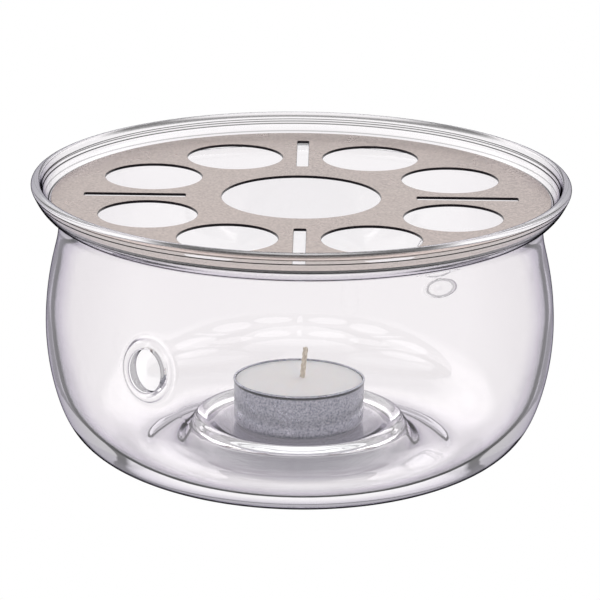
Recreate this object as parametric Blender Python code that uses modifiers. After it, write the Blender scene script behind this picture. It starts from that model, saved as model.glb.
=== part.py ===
"""Glass tea warmer: a blown bowl, a perforated steel plate and a tealight.

Metres, +Z up. The origin is on the bowl's axis, at the height of the surface it stands on.
Profiles are written in millimetres as (radius, height) and scaled once, in turned().
"""
import math

import bmesh
import bpy
from mathutils import Matrix, Vector

MM = 0.001
MERGE = 0.00001
GAP = 0.3

# Driving dimensions, in millimetres.
FOOT_R = 47.0
FOOT_INNER_R = 44.0
BELLY_R = 72.9
WAIST_R = 69.0
WAIST_Z = 68.5
RIM_R = 76.9
RIM_BEAD_R = 1.5
RIM_Z = 81.1
FLOOR_Z = 3.3
SEAT_Z = 9.2
SEAT_UNDER_Z = 6.7

VENT_AZIMUTH = math.radians(34.3)
VENT_FRONT_Z = 44.0
VENT_BACK_Z = 40.0
VENT_HOLE_R = 6.1
VENT_LIP_R = 8.9
VENT_NARROWING = 0.91
VENT_LIP_FACE = 74.6
VENT_LIP_BACK = 70.4
VENT_LIP_ROUND = 1.5
VENT_BORE_BACK = 66.4

PLATE_R = 71.2
PLATE_THICK = 0.8
PLATE_TOP_Z = 77.1
CENTRE_HOLE_R = 22.7
RING_HOLE_R = 14.0
RING_PITCH_R = 47.2
RING_HALF_ANGLE = math.radians(24.9)
SLOT_INNER_R = 32.9
SLOT_OUTER_R = 61.8
SLOT_WIDTH = 3.4
SLOT_CORNER_R = 0.6

CUP_R = 18.8
CUP_WALL = 0.3
CUP_RIM_R = 19.0
CUP_TOP_Z = 22.9
CUP_BOTTOM_Z = SEAT_Z + GAP
CUP_CORNER_R = 2.2
CUP_BEAD_R = 0.35
CUP_NECK = 1.0

WAX_EDGE_Z = 22.3
WAX_CROWN_Z = 22.9
WAX_CHAMFER = 0.3
WICK_X = 0.9
WICK_LEAN = 0.9
WICK_R = 0.75
WICK_TOP_Z = 32.2
WICK_BEND_Z = 23.3
TAB_R = 6.4
TAB_THICK = 0.3
NECK_R = 1.7
NECK_HEIGHT = 2.6
NECK_TAPER = 0.2
NECK_FILLET = 0.45

GLASS_STEPS = 56
METAL_STEPS = 40
HOLE_STEPS = 32
VENT_STEPS = 20
TAB_STEPS = 24


def clear_scene():
    for obj in list(bpy.data.objects):
        bpy.data.objects.remove(obj, do_unlink=True)


def new_collection(name):
    collection = bpy.data.collections.new(name)
    bpy.context.scene.collection.children.link(collection)
    return collection


def material(name, colour, roughness, metallic=0.0, transmission=0.0):
    mat = bpy.data.materials.new(name)
    mat.use_nodes = True
    shader = mat.node_tree.nodes["Principled BSDF"]
    shader.inputs["Base Color"].default_value = (*colour, 1.0)
    shader.inputs["Roughness"].default_value = roughness
    shader.inputs["Metallic"].default_value = metallic
    shader.inputs["Transmission Weight"].default_value = transmission
    mat.diffuse_color = (*colour, 1.0)
    return mat


def add_mesh(name, bm, collection, mat=None):
    mesh = bpy.data.meshes.new(name)
    bm.to_mesh(mesh)
    bm.free()
    obj = bpy.data.objects.new(name, mesh)
    collection.objects.link(obj)
    if mat is not None:
        mesh.materials.append(mat)
    return obj


def arc(centre_r, centre_z, radius, start, end, steps):
    """Points on a round stretch of a profile, from start to end in degrees."""
    points = []
    for i in range(steps + 1):
        angle = math.radians(start + (end - start) * i / steps)
        points.append((centre_r + radius * math.cos(angle), centre_z + radius * math.sin(angle)))
    return points


def turned(name, profile, steps, collection, mat=None, closed=False):
    """A solid turned about +Z. The profile runs down its outer side."""
    bm = bmesh.new()
    verts = [bm.verts.new((r * MM, 0.0, z * MM)) for r, z in profile]
    ends = zip(verts, verts[1:] + verts[:1]) if closed else zip(verts, verts[1:])
    for a, b in ends:
        bm.edges.new((a, b))
    obj = add_mesh(name, bm, collection, mat)
    screw = obj.modifiers.new("turn", 'SCREW')
    screw.axis = 'Z'
    screw.angle = math.tau
    screw.steps = steps
    screw.render_steps = steps
    screw.use_merge_vertices = True
    screw.merge_threshold = MERGE
    return obj


def boolean(obj, cutter, operation):
    mod = obj.modifiers.new(cutter.name, 'BOOLEAN')
    mod.object = cutter
    mod.operation = operation
    mod.solver = 'EXACT'


def as_cutter(obj):
    obj.hide_render = True
    obj.display_type = 'WIRE'
    return obj


def shade(obj):
    """Bakes the modifiers and shades the round faces smooth."""
    graph = bpy.context.evaluated_depsgraph_get()
    mesh = bpy.data.meshes.new_from_object(obj.evaluated_get(graph), depsgraph=graph)
    obj.modifiers.clear()
    obj.data = mesh
    mesh.shade_smooth()
    mesh.set_sharp_from_angle(angle=math.radians(40))


def seat_top():
    """The upper side of the raised candle seat, from the axis out to the floor."""
    floor_of_recess = [(0.0, SEAT_Z), (22.8, SEAT_Z)]
    ridge = arc(28.3, 8.9, 2.6, 120, 20, 5)
    recess_wall = [(24.0, SEAT_Z + 0.3), (25.3, SEAT_Z + 1.4)]
    flank = [(32.2, 7.7), (33.9, 5.2), (35.5, 3.9), (37.5, FLOOR_Z)]
    return floor_of_recess + recess_wall + ridge + flank


def bowl_inside():
    """The inner wall, from the floor up to the bead."""
    corner = [(47.0, FLOOR_Z), (52.2, 4.3), (56.4, 6.1), (60.2, 8.6), (63.5, 12.0), (66.4, 16.6)]
    belly = [(68.7, 22.5), (70.3, 29.5), (BELLY_R - 1.6, 37.0), (71.3, 44.0), (70.7, 51.0), (69.4, 58.5)]
    waist = [(68.0, 64.0), (WAIST_R - 1.6, WAIST_Z - 0.5), (67.5, 71.0), (68.1, 72.9)]
    flare = [(69.2, 74.3), (70.6, 75.4), (72.0, 76.7), (73.1, 78.4), (73.7, 79.9)]
    return corner + belly + waist + flare


def bowl_outside():
    """The outer wall, from the bead down to the foot."""
    flare = [(76.1, 79.2), (75.2, 77.4), (73.8, 75.6), (72.2, 74.1), (70.9, 73.4), (69.9, 73.0), (69.2, 72.3)]
    waist = [(WAIST_R, 71.2), (WAIST_R, WAIST_Z), (69.4, 64.6), (70.8, 59.5)]
    belly = [(72.2, 51.8), (72.8, 44.5), (BELLY_R, 38.0), (72.2, 30.0), (70.6, 22.4)]
    corner = [(68.4, 15.6), (65.6, 10.4), (62.0, 6.6), (57.6, 3.7), (52.4, 1.3), (FOOT_R, 0.0)]
    return flare + waist + belly + corner


def underside():
    """The foot ring and the hollow below the candle seat, from the foot in to the axis."""
    ring = [(FOOT_INNER_R, 0.0), (42.2, 0.6), (39.5, 0.9), (35.8, 1.1)]
    hollow = [(33.6, 2.0), (31.6, 4.6), (30.0, 7.0), (28.0, 8.3), (25.6, 7.9), (23.2, SEAT_UNDER_Z + 0.2)]
    return ring + hollow + [(20.0, SEAT_UNDER_Z), (0.0, SEAT_UNDER_Z)]


def glass_profile():
    bead_r = RIM_R - RIM_BEAD_R
    bead = arc(bead_r, RIM_Z, RIM_BEAD_R, 180, -30, 7)
    return seat_top() + bowl_inside() + bead + bowl_outside() + underside()


def vent_frame(side, height):
    """Turns local +Z to the vent's outward direction, and makes the vent a little narrower than high."""
    outward = Vector((-math.sin(VENT_AZIMUTH), -math.cos(VENT_AZIMUTH), 0.0)) * side
    place = Matrix.Translation((0.0, 0.0, height * MM))
    narrow = Matrix.Diagonal((VENT_NARROWING, 1.0, 1.0, 1.0))
    return place @ outward.to_track_quat('Z', 'Y').to_matrix().to_4x4() @ narrow


def vent_lip(name, frame, collection):
    edge = VENT_LIP_ROUND
    rounding = arc(VENT_LIP_R - edge, VENT_LIP_FACE - edge, edge, 90, 0, 4)
    profile = [(0.0, VENT_LIP_FACE)] + rounding + [(VENT_LIP_R, VENT_LIP_BACK), (0.0, VENT_LIP_BACK)]
    lip = turned(name, profile, VENT_STEPS, collection)
    lip.matrix_world = frame
    return as_cutter(lip)


def vent_bore(name, frame, collection):
    edge = VENT_LIP_ROUND
    front = VENT_LIP_FACE + edge
    mouth = arc(VENT_HOLE_R + edge, VENT_LIP_FACE - edge, edge, 100, 180, 4)
    profile = [(0.0, front), (mouth[0][0], front)] + mouth
    profile += [(VENT_HOLE_R, VENT_BORE_BACK), (0.0, VENT_BORE_BACK)]
    bore = turned(name, profile, VENT_STEPS, collection)
    bore.matrix_world = frame
    return as_cutter(bore)


def build_glass(parts, cutters):
    glass = material("glass_body", (0.93, 0.95, 0.94), 0.02, transmission=1.0)
    body = turned("glass_body", glass_profile(), GLASS_STEPS, parts, glass)
    for label, side, height in (("front", 1, VENT_FRONT_Z), ("back", -1, VENT_BACK_Z)):
        frame = vent_frame(side, height)
        boolean(body, vent_lip("lip_" + label, frame, cutters), 'UNION')
        boolean(body, vent_bore("bore_" + label, frame, cutters), 'DIFFERENCE')
    return body


def circle_points(x, y, radius, steps):
    points = []
    for i in range(steps):
        angle = math.tau * i / steps
        points.append((x + radius * math.cos(angle), y + radius * math.sin(angle)))
    return points


def slot_points(angle):
    """A radial slot with slightly rounded corners, turned to its own angle."""
    half = SLOT_WIDTH / 2 - SLOT_CORNER_R
    inner = SLOT_INNER_R + SLOT_CORNER_R
    outer = SLOT_OUTER_R - SLOT_CORNER_R
    corners = ((outer, half, 0), (inner, half, 90), (inner, -half, 180), (outer, -half, 270))
    points = []
    for x, y, start in corners:
        points += arc(x, y, SLOT_CORNER_R, start, start + 90, 2)
    c, s = math.cos(angle), math.sin(angle)
    return [(x * c - y * s, x * s + y * c) for x, y in points]


def plate_outlines():
    outlines = [circle_points(0, 0, PLATE_R, 96), circle_points(0, 0, CENTRE_HOLE_R, 64)]
    for quarter in range(4):
        axis = math.pi / 2 * quarter
        outlines.append(slot_points(axis))
        for side in (-1, 1):
            angle = axis + side * RING_HALF_ANGLE
            x = RING_PITCH_R * math.cos(angle)
            y = RING_PITCH_R * math.sin(angle)
            outlines.append(circle_points(x, y, RING_HOLE_R, HOLE_STEPS))
    return outlines


def build_plate(parts):
    curve = bpy.data.curves.new("plate_outline", 'CURVE')
    curve.dimensions = '2D'
    curve.fill_mode = 'BOTH'
    curve.extrude = PLATE_THICK / 2 * MM
    for outline in plate_outlines():
        spline = curve.splines.new('POLY')
        spline.points.add(len(outline) - 1)
        for point, (x, y) in zip(spline.points, outline):
            point.co = (x * MM, y * MM, 0.0, 1.0)
        spline.use_cyclic_u = True
    guide = bpy.data.objects.new("plate_outline", curve)
    parts.objects.link(guide)
    guide.location.z = (PLATE_TOP_Z - PLATE_THICK / 2) * MM
    steel = material("warmer_plate", (0.60, 0.57, 0.54), 0.25, metallic=1.0)
    return curve_to_mesh(guide, "warmer_plate", parts, steel)


def curve_to_mesh(guide, name, collection, mat):
    bpy.context.view_layer.update()
    graph = bpy.context.evaluated_depsgraph_get()
    mesh = bpy.data.meshes.new_from_object(guide.evaluated_get(graph), depsgraph=graph)
    mesh.name = name
    bm = bmesh.new()
    bm.from_mesh(mesh)
    bmesh.ops.remove_doubles(bm, verts=bm.verts, dist=MERGE)
    bmesh.ops.recalc_face_normals(bm, faces=bm.faces)
    bm.to_mesh(mesh)
    bm.free()
    obj = bpy.data.objects.new(name, mesh)
    obj.matrix_world = guide.matrix_world
    collection.objects.link(obj)
    mesh.materials.clear()
    mesh.materials.append(mat)
    bpy.data.objects.remove(guide, do_unlink=True)
    return obj


def build_cup(parts):
    inner = CUP_R - CUP_WALL
    floor = CUP_BOTTOM_Z + CUP_WALL
    bead_z = CUP_TOP_Z - CUP_BEAD_R
    neck_z = bead_z - CUP_NECK
    inside = [(0.0, floor), (inner - CUP_CORNER_R, floor)]
    inside += arc(inner - CUP_CORNER_R, floor + CUP_CORNER_R, CUP_CORNER_R, -60, 0, 3)
    bead = arc(CUP_RIM_R - CUP_BEAD_R, bead_z, CUP_BEAD_R, 150, -50, 6)
    outer_corner = CUP_CORNER_R + CUP_WALL
    outside = arc(CUP_R - outer_corner, CUP_BOTTOM_Z + outer_corner, outer_corner, 0, -90, 4)
    profile = inside + [(inner, neck_z)] + bead + [(CUP_R, neck_z)] + outside + [(0.0, CUP_BOTTOM_Z)]
    aluminium = material("tealight_cup", (0.55, 0.56, 0.58), 0.35, metallic=1.0)
    return turned("tealight_cup", profile, METAL_STEPS, parts, aluminium)


def wick_channel(collection):
    """The space in the wax that the wick, its neck and its tab take up."""
    base = CUP_BOTTOM_Z + CUP_WALL + GAP
    neck_top = base + NECK_HEIGHT + GAP
    tab_top = base + TAB_THICK + GAP
    hole = WICK_R + GAP
    above = WAX_CROWN_Z + 1.0
    below = base - 1.0
    profile = [(0.0, above), (hole, above), (hole, neck_top), (NECK_R + GAP, neck_top)]
    profile += [(NECK_R + GAP, tab_top), (TAB_R + GAP, tab_top), (TAB_R + GAP, below), (0.0, below)]
    channel = turned("wick_channel", profile, TAB_STEPS, collection)
    channel.location.x = WICK_X * MM
    return as_cutter(channel)


def build_wax(parts, cutters):
    radius = CUP_R - CUP_WALL - GAP
    base = CUP_BOTTOM_Z + CUP_WALL + GAP
    crown = [(0.0, WAX_CROWN_Z), (6.0, WAX_CROWN_Z - 0.1), (13.0, WAX_EDGE_Z + 0.2)]
    profile = crown + [(radius - WAX_CHAMFER, WAX_EDGE_Z), (radius, WAX_EDGE_Z - WAX_CHAMFER)]
    profile += arc(radius - CUP_CORNER_R, base + CUP_CORNER_R, CUP_CORNER_R, 0, -90, 4)
    profile += [(0.0, base)]
    paraffin = material("wax", (0.88, 0.85, 0.84), 0.45)
    wax = turned("wax", profile, METAL_STEPS, parts, paraffin)
    boolean(wax, wick_channel(cutters), 'DIFFERENCE')
    return wax


def build_wick(parts):
    base = CUP_BOTTOM_Z + CUP_WALL + GAP + TAB_THICK
    curve = bpy.data.curves.new("wick_path", 'CURVE')
    curve.dimensions = '3D'
    curve.bevel_depth = WICK_R * MM
    curve.bevel_resolution = 2
    curve.use_fill_caps = True
    path = [(WICK_X, base), (WICK_X, WICK_BEND_Z), (WICK_X + WICK_LEAN, WICK_TOP_Z)]
    spline = curve.splines.new('POLY')
    spline.points.add(len(path) - 1)
    for point, (x, z) in zip(spline.points, path):
        point.co = (x * MM, 0.0, z * MM, 1.0)
    guide = bpy.data.objects.new("wick_path", curve)
    parts.objects.link(guide)
    cotton = material("wick", (0.70, 0.64, 0.55), 0.9)
    return curve_to_mesh(guide, "wick", parts, cotton)


def build_sustainer(parts):
    base = CUP_BOTTOM_Z + CUP_WALL + GAP
    bore = WICK_R + GAP
    tab_top = base + TAB_THICK
    neck_top = base + NECK_HEIGHT
    profile = [(bore, neck_top), (NECK_R - NECK_TAPER, neck_top), (NECK_R, tab_top + NECK_FILLET)]
    profile += [(NECK_R + NECK_FILLET, tab_top), (TAB_R, tab_top), (TAB_R, base), (bore, base)]
    steel = material("wick_sustainer", (0.62, 0.62, 0.64), 0.35, metallic=1.0)
    tab = turned("wick_sustainer", profile, TAB_STEPS, parts, steel, closed=True)
    tab.location.x = WICK_X * MM
    return tab


def main():
    clear_scene()
    parts = new_collection("glass_tea_warmer")
    cutters = new_collection("cutters")
    pieces = [
        build_glass(parts, cutters),
        build_plate(parts),
        build_cup(parts),
        build_wax(parts, cutters),
        build_wick(parts),
        build_sustainer(parts),
    ]
    bpy.context.view_layer.update()
    for piece in pieces:
        shade(piece)


main()
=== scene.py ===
"""The looks of the glass tea warmer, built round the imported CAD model.

Lengths written as plain numbers are millimetres, and MM turns them into metres.
Profiles are (radius, height).
"""
import math

import bmesh
import bpy
from mathutils import Matrix, Vector


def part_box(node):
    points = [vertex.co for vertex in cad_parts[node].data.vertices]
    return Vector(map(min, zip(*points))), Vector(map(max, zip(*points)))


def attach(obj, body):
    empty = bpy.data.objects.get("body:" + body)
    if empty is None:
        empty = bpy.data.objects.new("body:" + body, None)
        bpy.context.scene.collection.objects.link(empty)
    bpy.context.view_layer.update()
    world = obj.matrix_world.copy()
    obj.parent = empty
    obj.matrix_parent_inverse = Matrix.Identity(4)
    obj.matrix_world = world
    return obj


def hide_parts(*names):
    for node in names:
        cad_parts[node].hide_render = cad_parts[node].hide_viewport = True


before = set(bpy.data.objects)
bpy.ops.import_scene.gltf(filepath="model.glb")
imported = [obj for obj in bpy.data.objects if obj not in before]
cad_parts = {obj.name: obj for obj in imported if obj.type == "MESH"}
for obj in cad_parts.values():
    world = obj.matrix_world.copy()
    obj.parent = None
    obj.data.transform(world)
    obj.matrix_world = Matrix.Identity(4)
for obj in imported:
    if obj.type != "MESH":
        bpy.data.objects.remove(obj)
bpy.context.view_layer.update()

MM = 0.001
ON_AXIS = 1e-6


# ---------------------------------------------------------------- sizes taken from the frame

PLATE_LOW, PLATE_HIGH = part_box("warmer_plate")
CUP_LOW, CUP_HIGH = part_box("tealight_cup")
WAX_LOW, WAX_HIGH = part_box("wax")
WICK_LOW, WICK_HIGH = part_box("wick")

PLATE_R = PLATE_HIGH.x / MM
PLATE_TOP = PLATE_HIGH.z / MM
PLATE_UNDER = PLATE_LOW.z / MM
CUP_RIM_R = CUP_HIGH.x / MM
CUP_TOP = CUP_HIGH.z / MM
CUP_UNDER = CUP_LOW.z / MM
WAX_R = WAX_HIGH.x / MM
WAX_TOP = WAX_HIGH.z / MM
WAX_UNDER = WAX_LOW.z / MM
WICK_TOP = WICK_HIGH.z / MM
WICK_FOOT = WICK_LOW.z / MM


# ---------------------------------------------------------------- mesh helpers

def add_piece(name, bm, mat, smooth=True):
    bmesh.ops.recalc_face_normals(bm, faces=bm.faces)
    mesh = bpy.data.meshes.new(name)
    bm.to_mesh(mesh)
    bm.free()
    if smooth:
        mesh.shade_smooth()
    mesh.materials.append(mat)
    obj = bpy.data.objects.new(name, mesh)
    bpy.context.scene.collection.objects.link(obj)
    return obj


def mark_vertices(obj, name, value_of):
    """Stores a number on each vertex, which the material reads by name."""
    values = obj.data.attributes.new(name, 'FLOAT', 'POINT').data
    for vertex, value in zip(obj.data.vertices, values):
        value.value = value_of(vertex)


def arc(centre_r, centre_z, radius, start, end, steps):
    """Points on a round stretch of a profile, from start to end in degrees."""
    points = []
    for i in range(steps + 1):
        angle = math.radians(start + (end - start) * i / steps)
        points.append((centre_r + radius * math.cos(angle), centre_z + radius * math.sin(angle)))
    return points


def spline(control, spacing):
    """Points on a cubic B-spline that runs from the axis back to the axis."""
    second, last_but_one = control[1], control[-2]
    run = [(-second[0], second[1])] + control + [(-last_but_one[0], last_but_one[1])]
    points = []
    for a, b, c, d in zip(run, run[1:], run[2:], run[3:]):
        steps = max(2, math.ceil(math.dist(b, c) / spacing))
        for i in range(steps):
            t = i / steps
            weights = ((1 - t) ** 3, 3 * t ** 3 - 6 * t ** 2 + 4, 1 + 3 * (t + t ** 2 - t ** 3), t ** 3)
            r = sum(w * p[0] for w, p in zip(weights, (a, b, c, d))) / 6
            z = sum(w * p[1] for w, p in zip(weights, (a, b, c, d))) / 6
            points.append((max(r, 0.0), z))
    points.append((0.0, control[-1][1]))
    points[0] = (0.0, points[0][1])
    return points


def turned(profile, steps):
    """A bmesh turned about the vertical axis. The profile starts and ends on that axis."""
    bm = bmesh.new()
    rows = []
    for r, z in profile:
        if r < ON_AXIS:
            rows.append([bm.verts.new((0.0, 0.0, z * MM))])
            continue
        row = []
        for i in range(steps):
            angle = math.tau * i / steps
            row.append(bm.verts.new((r * math.cos(angle) * MM, r * math.sin(angle) * MM, z * MM)))
        rows.append(row)
    for upper, lower in zip(rows, rows[1:]):
        join_rows(bm, upper, lower)
    return bm


def join_rows(bm, upper, lower, left_out=()):
    """Faces between two closed rows of vertices, either of which may be one point."""
    count = max(len(upper), len(lower))
    for i in range(count):
        if i in left_out:
            continue
        j = (i + 1) % count
        corners = [upper[i % len(upper)], upper[j % len(upper)], lower[j % len(lower)], lower[i % len(lower)]]
        corners = list(dict.fromkeys(corners))
        if len(corners) > 2:
            bm.faces.new(corners)


# ---------------------------------------------------------------- the glass bowl

GLASS_COLUMNS = 384
GLASS_SPACING = 0.9
WALL_R = 60.0

VENT_AZIMUTH = math.radians(34.3)
VENT_MIDDLE = 42.0
VENT_OFFSET = 2.0
VENT_NARROWING = 0.91
HOLE_NARROWING = 0.09

# A window is the patch of a wall's grid that a vent takes up, counted and measured from its middle.
WINDOW = 16
LEVELS = 2 * WINDOW
WINDOW_HALF = 18.0
WINDOW_MARGIN = 0.4
WINDOW_FOOT = VENT_MIDDLE - WINDOW_HALF - WINDOW_MARGIN
WINDOW_HEAD = VENT_MIDDLE + WINDOW_HALF + WINDOW_MARGIN

SEAT_TOP = [(0, 9.2), (8, 9.2), (16, 9.2), (20.5, 9.2), (22.6, 9.2), (23.9, 9.4), (25.0, 10.2)]
SEAT_RIDGE = arc(28.3, 8.9, 2.6, 125, 15, 6)
SEAT_FLANK = [(31.9, 8.2), (33.0, 6.6), (34.2, 4.9), (35.8, 3.8), (38.0, 3.3), (42.0, 3.2)]
INSIDE_CORNER = [(47.0, 3.3), (52.2, 4.3), (56.4, 6.1), (60.2, 8.6), (63.5, 12.0), (66.4, 16.6)]
INSIDE_BELLY = [(68.7, 22.5), (70.3, 29.5), (71.2, 37.0), (71.3, 44.0), (70.7, 51.0), (69.4, 58.5)]
INSIDE_WAIST = [(68.0, 64.0), (67.4, 68.0), (67.4, 71.0), (68.0, 72.9)]
INSIDE_FLARE = [(69.1, 74.3), (70.6, 75.4), (72.0, 76.7), (73.1, 78.4), (73.7, 79.9)]
BEAD = arc(75.4, 81.1, 1.5, 180, -30, 7)
OUTSIDE_FLARE = [(76.1, 79.2), (75.2, 77.4), (73.8, 75.6), (72.2, 74.1), (70.9, 73.4), (69.8, 73.1)]
OUTSIDE_WAIST = [(69.1, 72.4), (68.9, 71.2), (69.0, 68.5), (69.4, 64.6)]
OUTSIDE_BELLY = [(70.8, 59.5), (72.2, 51.8), (72.8, 44.5), (72.9, 38.0), (72.2, 30.0), (70.6, 22.4)]
OUTSIDE_CORNER = [(68.4, 15.6), (65.6, 10.4), (62.0, 6.6), (57.6, 3.7), (52.4, 1.3)]
FOOT = [(49.0, 0.3), (46.8, 0.0), (45.0, 0.0), (43.6, 0.3), (42.2, 0.6), (39.5, 0.9), (35.8, 1.1)]
HOLLOW = [(33.6, 2.0), (31.6, 4.6), (30.0, 7.0), (28.0, 8.3), (25.6, 7.9), (23.2, 6.9)]
UNDERSIDE = [(20.0, 6.7), (12.0, 6.7), (0.0, 6.7)]

# The vent lip's section: distance from the vent's axis, distance from the bowl's axis,
# how far that follows the bowl's curve, and height above that curve.
LIP_OUTSIDE = [(11.6, 0.0, 1.0, 0.0), (10.4, 0.0, 1.0, 0.02), (9.6, 0.0, 1.0, 0.12),
               (9.15, 72.8, 0.8, 0.35), (8.95, 73.1, 0.5, 0.7), (8.85, 73.5, 0.25, 1.1),
               (8.65, 73.95, 0.0, 0.0), (8.25, 74.3, 0.0, 0.0), (7.6, 74.45, 0.0, 0.0),
               (6.95, 74.3, 0.0, 0.0), (6.45, 73.95, 0.0, 0.0), (6.15, 73.4, 0.0, 0.0), (6.1, 72.7, 0.0, 0.0)]
LIP_INSIDE = [(6.1, 72.0, 0.0, 0.0), (6.15, 71.4, 0.0, 0.0), (6.45, 70.95, 0.0, 0.0), (7.0, 70.7, 0.2, -0.3),
              (7.8, 70.65, 0.5, -0.35), (8.7, 70.7, 0.8, -0.2), (9.8, 0.0, 1.0, -0.05), (11.6, 0.0, 1.0, 0.0)]
LIP_REACH = LIP_OUTSIDE[0][0]
HOLE_REACH = LIP_INSIDE[0][0]
SPREAD_SHARES = (0.25, 0.5, 0.75)

# How early each part of the glass darkens with painted edge shade, and where those parts begin.
OUTER_WALL_LINE = -0.04
INNER_WALL_LINE = 0.02
BEAD_LINE = 0.05
FLARE_LINE = 0.10
FLARE_INSIDE_LINE = -0.10
SEAT_LINE = 0.04
CORNER_LINE = 0.07
VENT_LINE = 0.16
BEAD_FOOT_Z = 79.0
NECK_Z = 70.5
SEAT_REACH = 33.0
SEAT_FOOT_Z = 8.0
CORNER_Z = 14.0
VENT_LINE_REACH = 9.8
FACING_UP = 0.5


def glass_profile():
    inner = SEAT_TOP + SEAT_RIDGE + SEAT_FLANK + INSIDE_CORNER + INSIDE_BELLY + INSIDE_WAIST + INSIDE_FLARE
    outer = OUTSIDE_FLARE + OUTSIDE_WAIST + OUTSIDE_BELLY + OUTSIDE_CORNER + FOOT + HOLLOW + UNDERSIDE
    return spline(inner + BEAD + outer, GLASS_SPACING)


def radius_at(points, z):
    for (r0, z0), (r1, z1) in zip(points, points[1:]):
        if min(z0, z1) <= z <= max(z0, z1) and z0 != z1:
            return r0 + (r1 - r0) * (z - z0) / (z1 - z0)
    return points[-1][0]


def window_rows(points):
    """The part of one wall that the windows cut, as rows at even heights."""
    rows = []
    for level in range(LEVELS + 1):
        z = VENT_MIDDLE + WINDOW_HALF * (level / WINDOW - 1)
        rows.append((radius_at(points, z), z))
    return rows


def glass_rows():
    """The whole skin as rows, with the first window row of the inner wall and of the outer wall."""
    profile = glass_profile()
    top = max(range(len(profile)), key=lambda i: profile[i][1])
    inner, outer = profile[:top], profile[top:]
    wall = [p for p in inner if p[0] > WALL_R]
    below = [p for p in inner if not (p[0] > WALL_R and p[1] > WINDOW_FOOT)]
    above = [p for p in wall + outer if p[1] > WINDOW_HEAD]
    outer_below = [p for p in outer if p[1] < WINDOW_FOOT]
    inner_wall, outer_wall = window_rows(wall), window_rows(outer)
    rows = below + inner_wall + above + outer_wall[::-1] + outer_below
    return rows, len(below), len(below) + len(inner_wall) + len(above)


def offset(column):
    """Columns from the nearer vent's centre."""
    half = GLASS_COLUMNS // 2
    return (column + half // 2) % half - half // 2


def glass_row(bm, index, r, z, starts):
    """One row of the bowl's vertices, with None where a vent's window leaves them out."""
    if r < ON_AXIS:
        return [bm.verts.new((0.0, 0.0, z * MM))]
    in_window = any(start < index < start + LEVELS for start in starts)
    row = []
    for column in range(GLASS_COLUMNS):
        if in_window and abs(offset(column)) < WINDOW:
            row.append(None)
            continue
        angle = math.tau * column / GLASS_COLUMNS - math.pi / 2 - VENT_AZIMUTH
        row.append(bm.verts.new((r * math.cos(angle) * MM, r * math.sin(angle) * MM, z * MM)))
    return row


def build_glass(mat):
    """The blown bowl. Each window is drawn to a round hole, and the vent's lip is part of the same skin."""
    rows, inner_start, outer_start = glass_rows()
    starts = (inner_start, outer_start)
    bm = bmesh.new()
    grid = [glass_row(bm, index, r, z, starts) for index, (r, z) in enumerate(rows)]
    covered = {column for column in range(GLASS_COLUMNS) if abs(offset(column) + 0.5) < WINDOW}
    for index, (upper, lower) in enumerate(zip(grid, grid[1:])):
        in_window = any(start <= index < start + LEVELS for start in starts)
        join_rows(bm, upper, lower, covered if in_window else ())
    for centre, rise in ((0, VENT_OFFSET), (GLASS_COLUMNS // 2, -VENT_OFFSET)):
        add_vent(bm, grid, rows, centre, rise, inner_start, outer_start + LEVELS)
    bowl = add_piece("glass_bowl", bm, mat)
    mark_vertices(bowl, "line_width", line_width)
    return bowl


def ring_steps():
    """Places round the window's edge, as (columns from its centre, levels from its foot)."""
    side = range(LEVELS)
    lower = [(i - WINDOW, 0) for i in side]
    right = [(WINDOW, i) for i in side]
    upper = [(WINDOW - i, LEVELS) for i in side]
    left = [(-WINDOW, LEVELS - i) for i in side]
    return lower + right + upper + left


def add_vent(bm, grid, rows, centre, rise, inner_foot, outer_foot):
    """The rings of one vent, from the outer window's edge over the lip to the inner window's edge."""
    turn = math.tau * centre / GLASS_COLUMNS - math.pi / 2 - VENT_AZIMUTH
    outward = Vector((math.cos(turn), math.sin(turn), 0.0))
    across = Vector((-math.sin(turn), math.cos(turn), 0.0))
    inner_wall = [rows[inner_foot + level] for level in range(LEVELS + 1)]
    outer_wall = [rows[outer_foot - level] for level in range(LEVELS + 1)]
    inner_ring, outer_ring, places = [], [], []
    for column, level in ring_steps():
        inner_ring.append(grid[inner_foot + level][(centre + column) % GLASS_COLUMNS])
        outer_ring.append(grid[outer_foot - level][(centre + column) % GLASS_COLUMNS])
        r = outer_wall[level][0]
        swing = math.tau * column / GLASS_COLUMNS
        places.append((r * math.sin(swing), outer_wall[level][1] - VENT_MIDDLE - rise))

    def point(x, y, depth):
        return bm.verts.new((outward * depth + across * x + Vector((0, 0, VENT_MIDDLE + rise + y))) * MM)

    def surface(x, y, wall):
        return math.sqrt(radius_at(wall, VENT_MIDDLE + rise + y) ** 2 - x * x)

    def ring(section, wall):
        """One round ring of the lip, at one line of its section."""
        reach, plane, follow, height = section
        narrowing = VENT_NARROWING - HOLE_NARROWING * (LIP_REACH - reach) / (LIP_REACH - HOLE_REACH)
        made = []
        for t, w in places:
            angle = math.atan2(w, t)
            x, y = narrowing * reach * math.cos(angle), reach * math.sin(angle)
            depth = follow * (surface(x, y, wall) + height) + (1 - follow) * plane
            made.append(point(x, y, depth))
        return made

    def spread(share, wall):
        """A ring on the wall between the round lip, at share 0, and the window's edge, at share 1."""
        made = []
        for t, w in places:
            angle = math.atan2(w, t)
            x = t * share + VENT_NARROWING * LIP_REACH * math.cos(angle) * (1 - share)
            y = w * share + LIP_REACH * math.sin(angle) * (1 - share)
            made.append(point(x, y, surface(x, y, wall)))
        return made

    rings = [outer_ring] + [spread(share, outer_wall) for share in reversed(SPREAD_SHARES)]
    rings += [ring(section, outer_wall) for section in LIP_OUTSIDE]
    rings += [ring(section, inner_wall) for section in LIP_INSIDE]
    rings += [spread(share, inner_wall) for share in SPREAD_SHARES] + [inner_ring]
    for near, far in zip(rings, rings[1:]):
        join_rows(bm, near, far)


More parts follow.
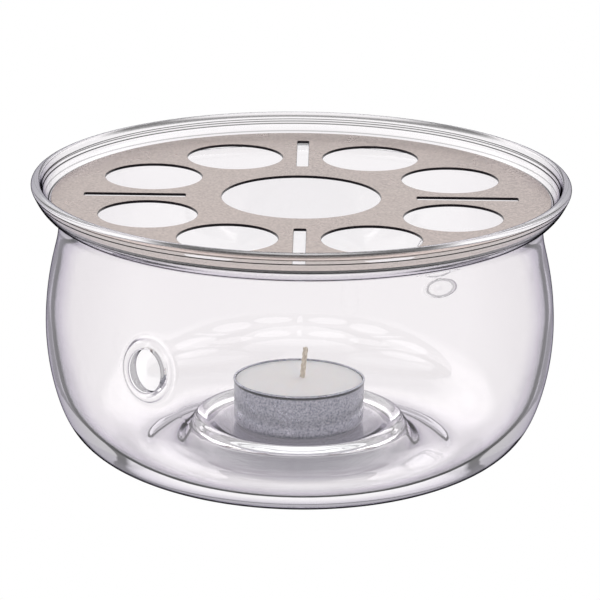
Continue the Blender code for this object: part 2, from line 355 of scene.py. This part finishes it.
def on_vent(place):
    """Whether a place on the bowl is on the lip of either vent."""
    r = place.xy.length
    for side in (1, -1):
        axis = Vector((-side * math.sin(VENT_AZIMUTH), -side * math.cos(VENT_AZIMUTH), 0.0))
        middle = axis * r + Vector((0, 0, VENT_MIDDLE + side * VENT_OFFSET)) * MM
        if r / MM > WALL_R and (place - middle).length / MM < VENT_LINE_REACH:
            return True
    return False


def line_width(vertex):
    """How early the painted edge shade darkens the glass here as it turns away from the eye."""
    r = vertex.co.xy.length / MM
    z = vertex.co.z / MM
    inward = vertex.normal.x * vertex.co.x + vertex.normal.y * vertex.co.y < 0 or vertex.normal.z > FACING_UP
    if on_vent(vertex.co):
        return VENT_LINE
    if z > BEAD_FOOT_Z:
        return BEAD_LINE
    if z > NECK_Z:
        return FLARE_INSIDE_LINE if inward else FLARE_LINE
    if r < SEAT_REACH and z > SEAT_FOOT_Z and inward:
        return SEAT_LINE
    if z < CORNER_Z:
        return CORNER_LINE
    return INNER_WALL_LINE if inward else OUTER_WALL_LINE


# ---------------------------------------------------------------- the steel plate

CENTRE_HOLE_R = 22.7
RING_HOLE_R = 14.0
RING_PITCH_R = 47.2
RING_HALF_ANGLE = math.radians(24.9)
SLOT_INNER_R = 32.9
SLOT_OUTER_R = 61.8
SLOT_HALF = 1.7
SLOT_CORNER_R = 0.6
EDGE_ROUND = 0.16
EDGE_MARGIN = 0.01
FLAT = 0.999
RIM_STEPS = 360
CENTRE_HOLE_STEPS = 180
RING_HOLE_STEPS = 120
SLOT_CORNER_STEPS = 6
EDGE_STEPS = 3


def circle(x, y, radius, steps):
    points = []
    for i in range(steps):
        angle = math.tau * i / steps
        points.append((x + radius * math.cos(angle), y + radius * math.sin(angle)))
    return points


def slot(angle, grow):
    """A radial slot with rounded corners, made larger all round by grow."""
    half = SLOT_HALF - SLOT_CORNER_R
    inner = SLOT_INNER_R + SLOT_CORNER_R
    outer = SLOT_OUTER_R - SLOT_CORNER_R
    corners = ((outer, half, 0), (inner, half, 90), (inner, -half, 180), (outer, -half, 270))
    points = []
    for x, y, start in corners:
        points += arc(x, y, SLOT_CORNER_R + grow, start, start + 90, SLOT_CORNER_STEPS)
    c, s = math.cos(angle), math.sin(angle)
    return [(x * c - y * s, x * s + y * c) for x, y in points]


def plate_outlines(inset):
    """The disc's outline and those of its openings, each moved into the metal by inset."""
    outlines = [circle(0, 0, PLATE_R - inset, RIM_STEPS)]
    outlines.append(circle(0, 0, CENTRE_HOLE_R + inset, CENTRE_HOLE_STEPS))
    for quarter in range(4):
        axis = math.pi / 2 * quarter
        outlines.append(slot(axis, inset))
        for side in (-1, 1):
            angle = axis + side * RING_HALF_ANGLE
            x = RING_PITCH_R * math.cos(angle)
            y = RING_PITCH_R * math.sin(angle)
            outlines.append(circle(x, y, RING_HOLE_R + inset, RING_HOLE_STEPS))
    return outlines


def on_cut_edge(vertex):
    return 1.0 if PLATE_UNDER + EDGE_MARGIN < vertex.co.z / MM < PLATE_TOP - EDGE_MARGIN else 0.0


def build_plate(mat):
    """A blanked disc. Each edge is a rounded wall between the two flat faces."""
    upper = arc(EDGE_ROUND, PLATE_TOP - EDGE_ROUND, EDGE_ROUND, 90, 180, EDGE_STEPS)
    lower = arc(EDGE_ROUND, PLATE_UNDER + EDGE_ROUND, EDGE_ROUND, 180, 270, EDGE_STEPS)
    bm = bmesh.new()
    rings = []
    for inset, z in upper + lower:
        outlines = plate_outlines(inset)
        rings.append([[bm.verts.new((x * MM, y * MM, z * MM)) for x, y in loop] for loop in outlines])
    for near, far in zip(rings, rings[1:]):
        for a, b in zip(near, far):
            join_rows(bm, a, b)
    for level in (rings[0], rings[-1]):
        edges = []
        for loop in level:
            edges += [bm.edges.get((a, b)) for a, b in zip(loop, loop[1:] + loop[:1])]
        bmesh.ops.triangle_fill(bm, use_beauty=True, use_dissolve=False, edges=edges)
    plate = add_piece("steel_plate", bm, mat)
    for polygon in plate.data.polygons:
        polygon.use_smooth = abs(polygon.normal.z) < FLAT
    mark_vertices(plate, "cut_edge", on_cut_edge)
    return plate


# ---------------------------------------------------------------- the tealight

CUP_STEPS = 160
CUP_WALL = 0.3
CUP_CORNER = 1.3
CUP_BEAD = 0.35
CUP_BEAD_REACH = 0.2
CUP_BEAD_Z = CUP_TOP - CUP_BEAD

# Extra rows that keep the shading of the flat stretches flat.
FLOOR_ROW_R = 8.0
CORNER_ROW = 2.0
INSIDE_WALL_ROWS = (3.0, 0.6)
OUTSIDE_WALL_ROWS = (0.7, 1.0, 4.0)

# The bands of painted shade, measured down from the bead's middle and up from the cup's underside.
CREASE_UPPER = 0.1
CREASE_LOWER = 0.8
CREASE_UNDER = 0.25


def build_cup(mat):
    """The pressed cup: floor, round corner, wall and a rolled bead."""
    wall_r = CUP_RIM_R - CUP_BEAD_REACH
    inner_r = wall_r - CUP_WALL
    floor = CUP_UNDER + CUP_WALL
    outer_corner = CUP_CORNER + CUP_WALL
    profile = [(0.0, floor), (FLOOR_ROW_R, floor), (inner_r - CUP_CORNER - CORNER_ROW, floor)]
    profile += arc(inner_r - CUP_CORNER, floor + CUP_CORNER, CUP_CORNER, -90, 0, 8)
    profile += [(inner_r, CUP_BEAD_Z - drop) for drop in INSIDE_WALL_ROWS]
    profile += arc(CUP_RIM_R - CUP_BEAD, CUP_BEAD_Z, CUP_BEAD, 170, -60, 12)
    profile += [(wall_r, CUP_BEAD_Z - drop) for drop in OUTSIDE_WALL_ROWS]
    profile += arc(wall_r - outer_corner, CUP_UNDER + outer_corner, outer_corner, 0, -90, 10)
    profile += [(wall_r - outer_corner - CORNER_ROW, CUP_UNDER), (FLOOR_ROW_R, CUP_UNDER), (0.0, CUP_UNDER)]
    cup = add_piece("aluminium_cup", turned(profile, CUP_STEPS), mat)
    mark_vertices(cup, "crease", in_painted_shade)
    return cup


def in_painted_shade(vertex):
    z = vertex.co.z / MM
    under_bead = CUP_BEAD_Z - CREASE_LOWER < z < CUP_BEAD_Z - CREASE_UPPER
    return 1.0 if under_bead or z < CUP_UNDER + CREASE_UNDER else 0.0


WAX_STEPS = 128
WAX_CORNER = 2.2
WAX_LIP = WAX_TOP - 0.5
WAX_CROWN = 0.28
WICK_MOUND = 0.6
WICK_MOUND_R = 1.7
WAX_ROWS = 36
WAX_ROW = 0.5

# The wax's upper edge, as (distance in from its side, height over WAX_LIP).
WAX_EDGE = ((0.35, 0.08), (0.1, 0.12), (0.0, -0.1), (0.0, -3.0))


def wax_swell(r):
    """Height of the wax above its edge: a low crown that rises to the wick."""
    return WAX_CROWN * (1 - (r / WAX_R) ** 2) + WICK_MOUND * math.exp(-(r / WICK_MOUND_R) ** 2)


def build_wax(mat):
    radii = [WAX_ROW * i for i in range(WAX_ROWS)]
    profile = [(r, WAX_LIP + wax_swell(r)) for r in radii]
    profile += [(WAX_R - inset, WAX_LIP + rise) for inset, rise in WAX_EDGE]
    profile += arc(WAX_R - WAX_CORNER, WAX_UNDER + WAX_CORNER, WAX_CORNER, 0, -90, 8)
    profile += [(FLOOR_ROW_R, WAX_UNDER), (0.0, WAX_UNDER)]
    return add_piece("wax_disc", turned(profile, WAX_STEPS), mat)


STRANDS = 3
STRAND_R = 0.46
STRAND_SIDES = 10
STRAND_RINGS = 110
TWIST_R = 0.34
TWIST_PITCH = 5.2
TIP_ROUND = 0.4
TIP_NARROWING = 0.7
TIP_RINGS = 2
WICK_X = 0.9
WICK_LEAN = 0.9
WICK_BEND = WAX_TOP + 0.4


def strand_rows(bm, strand):
    """The rings of one strand, from its foot in the wax to its tip."""
    rows = []
    for i in range(STRAND_RINGS):
        z = WICK_FOOT + (WICK_TOP - STRAND_R * TIP_ROUND - WICK_FOOT) * i / (STRAND_RINGS - 1)
        rise = max(0.0, (z - WICK_BEND) / (WICK_TOP - WICK_BEND))
        turn = math.tau * (z / TWIST_PITCH + strand / STRANDS)
        x = WICK_X + WICK_LEAN * rise + TWIST_R * math.cos(turn)
        y = TWIST_R * math.sin(turn)
        radius = STRAND_R * (1.0 if i < STRAND_RINGS - TIP_RINGS else TIP_NARROWING)
        outline = circle(x, y, radius, STRAND_SIDES)
        rows.append([bm.verts.new((u * MM, v * MM, z * MM)) for u, v in outline])
    return rows


def build_wick(mat):
    """Three plaited strands that lean a little to one side."""
    bm = bmesh.new()
    for strand in range(STRANDS):
        rows = strand_rows(bm, strand)
        for a, b in zip(rows, rows[1:]):
            join_rows(bm, a, b)
        bm.faces.new(rows[0])
        bm.faces.new(rows[-1])
    return add_piece("cotton_wick", bm, mat)


# ---------------------------------------------------------------- node helpers

class Nodes:
    """Short words for the nodes of one tree."""

    def __init__(self, tree):
        self.tree = tree

    def new(self, kind):
        return self.tree.nodes.new(kind)

    def link(self, source, target):
        self.tree.links.new(source, target)

    def feed(self, source, target):
        """Links source to target, or sets target when source is a plain value."""
        if isinstance(source, (float, tuple)):
            target.default_value = source
        else:
            self.link(source, target)

    def camera_ray(self):
        return self.new("ShaderNodeLightPath").outputs["Is Camera Ray"]

    def ramp(self, source, stops):
        node = self.new("ShaderNodeValToRGB")
        elements = node.color_ramp.elements
        while len(elements) < len(stops):
            elements.new(0.5)
        for element, (position, colour) in zip(elements, stops):
            element.position = position
            element.color = (*colour, 1.0)
        self.link(source, node.inputs["Fac"])
        return node.outputs["Color"]

    def mix(self, factor, first, second, blend='MIX'):
        node = self.new("ShaderNodeMix")
        node.data_type = 'RGBA'
        node.blend_type = blend
        self.feed(factor, node.inputs["Factor"])
        self.feed(first, node.inputs["A"])
        self.feed(second, node.inputs["B"])
        return node.outputs["Result"]

    def multiply(self, first, second):
        return self.mix(1.0, first, second, 'MULTIPLY')

    def math(self, operation, first, second):
        node = self.new("ShaderNodeMath")
        node.operation = operation
        self.link(first, node.inputs[0])
        self.feed(second, node.inputs[1])
        return node.outputs["Value"]

    def spread(self, source, low, high, start=0.3, end=0.7):
        node = self.new("ShaderNodeMapRange")
        node.inputs["From Min"].default_value = start
        node.inputs["From Max"].default_value = end
        node.inputs["To Min"].default_value = low
        node.inputs["To Max"].default_value = high
        self.link(source, node.inputs["Value"])
        return node.outputs["Result"]


class Material(Nodes):
    """A new material with its shader, painted in the object's own coordinates."""

    def __init__(self, name):
        self.mat = bpy.data.materials.new(name)
        self.mat.use_nodes = True
        super().__init__(self.mat.node_tree)
        self.shader = self.tree.nodes["Principled BSDF"]
        self.output = self.tree.nodes["Material Output"]
        self.coordinates = self.new("ShaderNodeTexCoord").outputs["Object"]

    def set(self, **values):
        for key, value in values.items():
            self.shader.inputs[key.replace("_", " ")].default_value = value

    def drive(self, **sources):
        for key, source in sources.items():
            self.link(source, self.shader.inputs[key.replace("_", " ")])

    def attribute(self, name):
        node = self.new("ShaderNodeAttribute")
        node.attribute_name = name
        return node.outputs["Fac"]

    def noise(self, scale, detail=4.0, stretch=(1.0, 1.0, 1.0)):
        mapping = self.new("ShaderNodeMapping")
        mapping.inputs["Scale"].default_value = stretch
        self.link(self.coordinates, mapping.inputs["Vector"])
        node = self.new("ShaderNodeTexNoise")
        node.inputs["Scale"].default_value = scale
        node.inputs["Detail"].default_value = detail
        self.link(mapping.outputs["Vector"], node.inputs["Vector"])
        return node.outputs["Fac"]

    def bump(self, source, distance, strength=1.0, under=None):
        node = self.new("ShaderNodeBump")
        node.inputs["Strength"].default_value = strength
        node.inputs["Distance"].default_value = distance
        self.link(source, node.inputs["Height"])
        if under is not None:
            self.link(under, node.inputs["Normal"])
        return node.outputs["Normal"]


# ---------------------------------------------------------------- materials

WHITE = (1.0, 1.0, 1.0)
GLASS_IOR = 1.5

# Seen from within the glass, how far a skin may turn (1 - cosine) before it mirrors everything,
# and the stretch about that turn in which the painted shade darkens it.
TURNED_BACK = 1 - math.sqrt(1 - 1 / GLASS_IOR ** 2)
DARKENING_START = TURNED_BACK - 0.0546
DARKENING_END = TURNED_BACK + 0.0154

# Painted light: a glow that every mirroring inside the glass adds, standing in for what the bowl's thickness
# carries round its rim.
PAINTED_GLOW_STRENGTH = 0.095

# Fine dark lines of painted shade round the fire-polished rim: height, half width and the share of light they
# let pass.
RINGS_LOW = 75.0
RINGS_HIGH = 83.0
RINGS = [(76.6, 0.22, 0.60), (79.45, 0.22, 0.22), (80.75, 0.20, 0.28)]


def glass_colour_and_edge_shade(n, facing):
    """The glass's colour with faint clouds, and painted shade that deepens it where it is seen on edge."""
    tint = n.ramp(facing, [(0.25, (0.975, 0.962, 0.968)), (0.60, (0.86, 0.84, 0.855)),
                           (0.85, (0.78, 0.76, 0.78))])
    clouds = n.ramp(n.noise(14.0, 2.0), [(0.3, (0.985, 0.98, 0.985)), (0.7, WHITE)])
    return n.multiply(tint, clouds)


def glass_outlines(n, facing, inside):
    """Painted shade: dark where a skin is seen on edge, by one ramp from without and another from within."""
    edge = n.math('ADD', facing, n.attribute("line_width"))
    painted_edge_shade = n.ramp(edge, [(0.60, WHITE), (0.75, (0.955, 0.95, 0.965)), (0.88, (0.92, 0.915, 0.93)),
                         (0.93, (0.80, 0.795, 0.815)), (0.96, (0.60, 0.595, 0.62)),
                         (1.0, (0.25, 0.25, 0.27))])
    near_edge = n.spread(facing, 0.0, 1.0, DARKENING_START, DARKENING_END)
    line = n.ramp(near_edge, [(0.17, WHITE), (0.47, (0.95, 0.94, 0.96)), (0.62, (0.90, 0.895, 0.91)),
                              (0.66, (0.55, 0.55, 0.57)), (0.69, (0.05, 0.05, 0.06)),
                              (0.78, (0.01, 0.01, 0.012)), (0.805, WHITE)])
    return n.mix(inside, painted_edge_shade, line)


def painted_rim_lines(n):
    """The fine dark lines of painted shade round the rim."""
    parts = n.new("ShaderNodeSeparateXYZ")
    n.link(n.coordinates, parts.inputs["Vector"])
    span = n.spread(parts.outputs["Z"], 0.0, 1.0, RINGS_LOW * MM, RINGS_HIGH * MM)
    stops = [(0.0, WHITE)]
    for z, half, left in RINGS:
        for height, tone in ((z - half, 1.0), (z - half / 3, left), (z + half / 3, left), (z + half, 1.0)):
            stops.append(((height - RINGS_LOW) / (RINGS_HIGH - RINGS_LOW), (tone, tone, tone)))
    return n.ramp(span, stops)


def painted_glow(n, facing, inside):
    """A small painted glow, only where a ray within the glass is mirrored."""
    trapped = n.math('GREATER_THAN', facing, TURNED_BACK)
    return n.math('MULTIPLY', n.math('MULTIPLY', trapped, inside), PAINTED_GLOW_STRENGTH)


def glass_material():
    """Clear glass with painted shade that thickens where a skin is seen on edge, which draws the bowl's
    outlines.
    """
    n = Material("blown_glass")
    n.set(Transmission_Weight=1.0, IOR=GLASS_IOR, Coat_Weight=1.0, Coat_IOR=1.0, Coat_Roughness=0.0)
    # The colour of the painted glow.
    n.set(Emission_Color=(0.93, 0.905, 0.94, 1.0))
    weight = n.new("ShaderNodeLayerWeight")
    weight.inputs["Blend"].default_value = 0.5
    facing = weight.outputs["Facing"]
    inside = n.new("ShaderNodeNewGeometry").outputs["Backfacing"]
    n.drive(Base_Color=glass_colour_and_edge_shade(n, facing))
    # Coat Tint carries the painted edge shade and the painted rim lines.
    n.drive(Coat_Tint=n.multiply(glass_outlines(n, facing, inside), painted_rim_lines(n)))
    n.drive(Emission_Strength=painted_glow(n, facing, inside))
    n.drive(Roughness=n.spread(n.noise(60.0, 3.0), 0.0, 0.02))
    n.drive(Normal=n.bump(n.noise(22.0, 1.0, (1.0, 1.0, 0.5)), 0.0002, 0.5))
    body = n.new("ShaderNodeVolumeAbsorption")
    body.inputs["Color"].default_value = (0.82, 0.92, 0.88, 1.0)
    body.inputs["Density"].default_value = 9.0
    n.link(body.outputs["Volume"], n.output.inputs["Volume"])
    return n.mat


def steel_material():
    """Satin steel with a fine speckle, and a painted dark reflection on the walls where the openings and the
    rim were cut.
    """
    n = Material("satin_steel")
    n.set(Metallic=1.0)
    cloud = n.noise(24.0, 5.0)
    tone = n.ramp(n.noise(1500.0, 4.0), [(0.3, (0.22, 0.178, 0.163)), (0.7, (0.38, 0.31, 0.285))])
    # Painted reflection: the cut walls are nearly black, for the dark surroundings they would mirror.
    painted_edge_reflection = n.ramp(cloud, [(0.3, (0.010, 0.009, 0.011)), (0.7, (0.022, 0.019, 0.021))])
    n.drive(Base_Color=n.mix(n.attribute("cut_edge"), tone, painted_edge_reflection))
    n.drive(Roughness=n.spread(cloud, 0.24, 0.32))
    n.drive(Normal=n.bump(n.noise(2600.0, 3.0), 0.00002, 0.6))
    return n.mat


def aluminium_material():
    """Speckled foil with soft upright folds, and painted shade under its bead and along its underside."""
    n = Material("pressed_aluminium")
    n.set(Metallic=1.0)
    speckle = n.noise(1700.0, 4.0)
    tone = n.ramp(speckle, [(0.32, (0.18, 0.19, 0.235)), (0.5, (0.345, 0.35, 0.405)),
                            (0.68, (0.50, 0.49, 0.55))])
    shade = n.ramp(n.noise(300.0, 3.0), [(0.3, (0.015, 0.016, 0.022)), (0.7, (0.04, 0.042, 0.052))])
    folds = n.bump(n.noise(260.0, 2.0, (1.0, 1.0, 0.15)), 0.00006, 0.5)
    # Painted shade: the marked bands take a near-black colour.
    n.drive(Base_Color=n.mix(n.attribute("crease"), tone, shade))
    n.drive(Roughness=n.spread(n.noise(140.0, 4.0), 0.24, 0.38))
    n.drive(Normal=n.bump(speckle, 0.00002, 0.5, folds))
    return n.mat


def wax_material():
    n = Material("paraffin")
    n.set(Subsurface_Weight=0.6, Subsurface_Scale=0.004, Subsurface_Radius=(1.0, 0.8, 0.7), IOR=1.44)
    n.drive(Base_Color=n.ramp(n.noise(120.0, 5.0), [(0.3, (0.97, 0.93, 0.93)), (0.7, (0.99, 0.96, 0.96))]))
    n.drive(Roughness=n.spread(n.noise(300.0, 4.0), 0.4, 0.6))
    n.drive(Normal=n.bump(n.noise(500.0, 5.0), 0.00005, 0.5))
    return n.mat


def cotton_material():
    n = Material("waxed_cotton")
    n.set(Sheen_Weight=0.2)
    fibres = n.noise(1400.0, 4.0, (1.0, 1.0, 0.25))
    n.drive(Base_Color=n.ramp(fibres, [(0.3, (0.50, 0.43, 0.34)), (0.7, (0.76, 0.69, 0.58))]))
    n.drive(Roughness=n.spread(n.noise(900.0), 0.7, 0.95))
    n.drive(Normal=n.bump(n.noise(2200.0, 3.0, (1.0, 1.0, 0.2)), 0.00008, 0.8))
    return n.mat


def tab_material():
    n = Material("tinned_tab")
    n.set(Metallic=1.0)
    n.drive(Base_Color=n.ramp(n.noise(700.0, 4.0), [(0.3, (0.52, 0.52, 0.54)), (0.7, (0.68, 0.68, 0.70))]))
    n.drive(Roughness=n.spread(n.noise(200.0), 0.3, 0.5))
    n.drive(Normal=n.bump(n.noise(1500.0), 0.00003, 0.5))
    return n.mat


# ---------------------------------------------------------------- studio

FLOOR_SIZE = 3.0
FLOOR_Z = -0.0002

# The floor's shade, by distance from the bowl's axis in decimetres.
DECIMETRES = 10.0
FLOOR_SHADE = [(0.22, (0.27, 0.265, 0.30)), (0.34, (0.46, 0.44, 0.49)), (0.41, (0.96, 0.95, 0.96))]

# The surround's brightness, by the sine of the height angle over the horizon.
SURROUND = [(0.0, 0.96), (0.32, 0.96), (0.42, 2.5), (0.62, 2.5), (0.78, 0.8), (1.0, 0.9)]


def build_camera():
    """A long lens, a little above the rim, as far off as the picture's perspective asks for."""
    distance = 1.195
    elevation = math.radians(17.04)
    azimuth = math.radians(0.4)
    roll = math.radians(0.66)
    aim = Vector((0.0, 0.0, 0.0463))
    data = bpy.data.cameras.new("camera")
    data.lens = 250.0
    data.sensor_width = 36.0
    data.clip_start = 0.05
    data.clip_end = 50.0
    camera = bpy.data.objects.new("camera", data)
    bpy.context.scene.collection.objects.link(camera)
    level = math.cos(elevation)
    back = Vector((math.sin(azimuth) * level, -math.cos(azimuth) * level, math.sin(elevation)))
    look = (-back).to_track_quat('-Z', 'Y').to_matrix().to_4x4()
    camera.matrix_world = Matrix.Translation(aim + back * distance) @ look @ Matrix.Rotation(roll, 4, 'Z')
    bpy.context.scene.camera = camera


def build_floor():
    """A table that is white to the camera. The glass and metal show it shaded close to the bowl's axis."""
    bm = bmesh.new()
    bmesh.ops.create_grid(bm, x_segments=8, y_segments=8, size=FLOOR_SIZE)
    n = Material("floor")
    n.tree.nodes.remove(n.shader)
    scaled = n.new("ShaderNodeMapping")
    scaled.inputs["Scale"].default_value = (DECIMETRES, DECIMETRES, 1.0)
    n.link(n.coordinates, scaled.inputs["Vector"])
    distance = n.new("ShaderNodeVectorMath")
    distance.operation = 'LENGTH'
    n.link(scaled.outputs["Vector"], distance.inputs[0])
    shade = n.ramp(distance.outputs["Value"], FLOOR_SHADE)
    glow = n.new("ShaderNodeEmission")
    n.link(n.mix(n.camera_ray(), shade, (*WHITE, 1.0)), glow.inputs["Color"])
    n.link(glow.outputs["Emission"], n.output.inputs["Surface"])
    floor = add_piece("floor", bm, n.mat, smooth=False)
    floor.location.z = FLOOR_Z


def build_world():
    """A surround that is white to the camera. The glass and metal show a bright band above its horizon."""
    world = bpy.data.worlds.new("studio")
    world.use_nodes = True
    bpy.context.scene.world = world
    n = Nodes(world.node_tree)
    background = n.tree.nodes["Background"]
    split = n.new("ShaderNodeSeparateXYZ")
    n.link(n.new("ShaderNodeTexCoord").outputs["Generated"], split.inputs["Vector"])
    light = n.ramp(split.outputs["Z"], [(height, (level, level, level)) for height, level in SURROUND])
    n.link(n.mix(n.camera_ray(), light, (*WHITE, 1.0)), background.inputs["Color"])
    background.inputs["Strength"].default_value = 1.0


# ---------------------------------------------------------------- putting it together

def place(piece, body, node, slot_name):
    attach(piece, body)
    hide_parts(node)


def main():
    scene = bpy.context.scene
    scene.view_settings.view_transform = 'Standard'
    build_camera()
    build_floor()
    build_world()
    place(build_glass(glass_material()), "bowl", "glass_body", "glass_body")
    place(build_plate(steel_material()), "plate", "warmer_plate", "warmer_plate")
    place(build_cup(aluminium_material()), "tealight", "tealight_cup", "tealight_cup")
    place(build_wax(wax_material()), "candle", "wax", "wax")
    place(build_wick(cotton_material()), "candle", "wick", "wick")
    tab = bpy.data.objects["wick_sustainer"]
    tab.material_slots[0].material = tab_material()


main()
